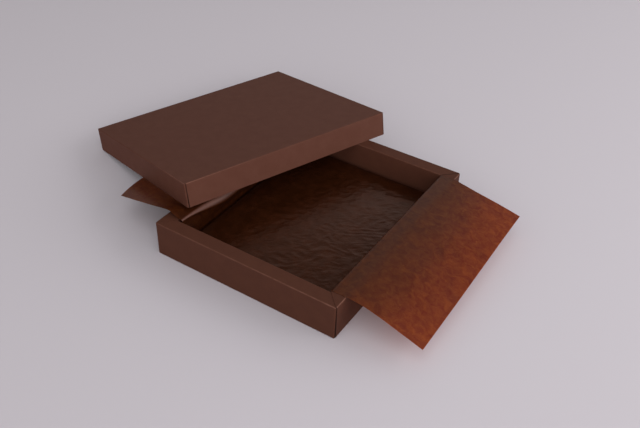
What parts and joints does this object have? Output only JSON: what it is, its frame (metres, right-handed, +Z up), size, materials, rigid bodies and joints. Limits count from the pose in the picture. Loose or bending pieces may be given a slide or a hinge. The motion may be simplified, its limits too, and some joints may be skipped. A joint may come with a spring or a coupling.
{
  "type": "praline box",
  "caption": "Open praline box: folded card tray with a crinkled base pad and a paper liner, its shallow card lid leaning half off the side.",
  "frame": {"origin": "middle of the tray's underside, on the surface that the box stands on", "axes": "+Z up, +Y along the tray's long side towards its back, +X across it towards the right; the tray's front faces -Y, and the lid leans off its left side, -X"},
  "size_m": [0.3385, 0.2488, 0.049],
  "materials": {
    "tray_card": "matt dark brown folding board",
    "lid_card": "matt dark brown folding board",
    "liner_paper": "thin translucent brown glassine",
    "pad_cover": "crinkled dark brown pad paper, slightly glossy"
  },
  "bodies": {
    "root": {"tray": "tray_card", "lid": "lid_card", "liner": "liner_paper", "pad": "pad_cover"}
  },
  "joints": []
}
